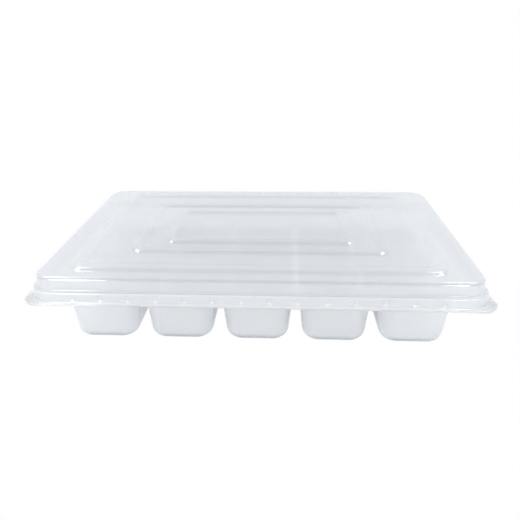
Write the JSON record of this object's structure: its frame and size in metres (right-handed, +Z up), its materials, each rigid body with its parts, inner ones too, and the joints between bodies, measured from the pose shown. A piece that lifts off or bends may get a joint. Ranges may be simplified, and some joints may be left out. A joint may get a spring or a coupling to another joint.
{
  "type": "humidity dome tray",
  "caption": "Clear thermoformed seed tray with square cups in rows and a low clear lid with three raised rib rings that lifts straight off.",
  "frame": {"origin": "centre of the footprint at the level of the cup bottoms", "axes": "+X along the long side, +Y from the front long side to the back, +Z up"},
  "size_m": [0.2524, 0.1604, 0.0469],
  "materials": {
    "tray_sheet": "clear thermoformed sheet with a faint milky blue-grey cast, softer gloss where it was drawn thin",
    "lid_sheet": "clear glossy thermoformed sheet with a faint blue-grey cast"
  },
  "bodies": {
    "tray": {"cell_tray": "tray_sheet"},
    "lid": {"dome_lid": "lid_sheet"}
  },
  "joints": [
    {"name": "lid_lift", "type": "slide", "parent": "tray", "child": "lid", "axis": [0, 0, 1], "range_m": [0, 0.06]}
  ]
}
